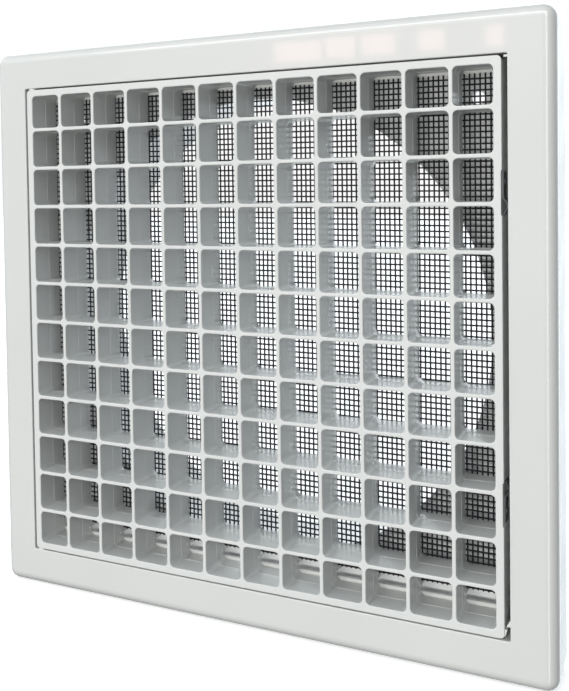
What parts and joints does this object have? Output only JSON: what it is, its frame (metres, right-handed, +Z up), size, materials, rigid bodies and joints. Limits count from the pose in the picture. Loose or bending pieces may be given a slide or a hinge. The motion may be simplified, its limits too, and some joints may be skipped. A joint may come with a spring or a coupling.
{
  "type": "ceiling air diffuser",
  "caption": "Square white ceiling air diffuser with a hinged egg-crate core, a black mesh filter behind it and a round duct collar on the back box.",
  "frame": {"origin": "centre of the four fixing holes on the rear face of the back plate", "axes": "the face looks along -Y, the duct leaves along +Y, +Z is up and +X is to the right of someone who looks at the face"},
  "size_m": [0.3, 0.08, 0.298],
  "materials": {
    "white_plastic": "satin gloss moulded ABS",
    "core_plastic": "satin moulded ABS",
    "black_mesh": "woven black filament",
    "foam": "closed-cell foam",
    "soft_rubber": "matt rubber",
    "nylon": "natural nylon",
    "zinc_steel": "zinc-plated steel",
    "spring_steel": "dark spring steel"
  },
  "bodies": {
    "housing": {"face_frame": "white_plastic", "rear_box": "white_plastic", "frame_screws": "zinc_steel", "duct_collar": "white_plastic", "collar_gasket": "soft_rubber", "collar_screws": "zinc_steel", "ceiling_seal": "foam", "hinge_pins": "zinc_steel", "hinge_washers": "nylon", "stop_pads": "soft_rubber"},
    "core": {"core_grid": "core_plastic", "filter_mesh": "black_mesh", "filter_frame": "core_plastic", "clip_pins": "zinc_steel", "spring_clips": "spring_steel", "spring_rivets": "zinc_steel"},
    "filter_clip_top_left": {"filter_clip_top_left": "core_plastic"},
    "filter_clip_top_middle": {"filter_clip_top_middle": "core_plastic"},
    "filter_clip_top_right": {"filter_clip_top_right": "core_plastic"},
    "filter_clip_bottom_left": {"filter_clip_bottom_left": "core_plastic"},
    "filter_clip_bottom_middle": {"filter_clip_bottom_middle": "core_plastic"},
    "filter_clip_bottom_right": {"filter_clip_bottom_right": "core_plastic"}
  },
  "joints": [
    {"name": "core_hinge", "type": "hinge", "parent": "housing", "child": "core", "pos_m": [-0.12605, -0.0279, 0], "axis": [0, 0, -1], "range_deg": [0, 95]},
    {"name": "filter_clip_top_left_turn", "type": "hinge", "parent": "core", "child": "filter_clip_top_left", "pos_m": [-0.06425, -0.0058, 0.12605], "axis": [0, -1, 0], "range_deg": [0, 90]},
    {"name": "filter_clip_top_middle_turn", "type": "hinge", "parent": "core", "child": "filter_clip_top_middle", "pos_m": [-0.00065, -0.0058, 0.12605], "axis": [0, -1, 0], "range_deg": [0, 90]},
    {"name": "filter_clip_top_right_turn", "type": "hinge", "parent": "core", "child": "filter_clip_top_right", "pos_m": [0.06295, -0.0058, 0.12605], "axis": [0, -1, 0], "range_deg": [0, 90]},
    {"name": "filter_clip_bottom_left_turn", "type": "hinge", "parent": "core", "child": "filter_clip_bottom_left", "pos_m": [-0.06425, -0.0058, -0.12615], "axis": [0, 1, 0], "range_deg": [0, 90]},
    {"name": "filter_clip_bottom_middle_turn", "type": "hinge", "parent": "core", "child": "filter_clip_bottom_middle", "pos_m": [-0.00065, -0.0058, -0.12615], "axis": [0, 1, 0], "range_deg": [0, 90]},
    {"name": "filter_clip_bottom_right_turn", "type": "hinge", "parent": "core", "child": "filter_clip_bottom_right", "pos_m": [0.06295, -0.0058, -0.12615], "axis": [0, 1, 0], "range_deg": [0, 90]}
  ]
}
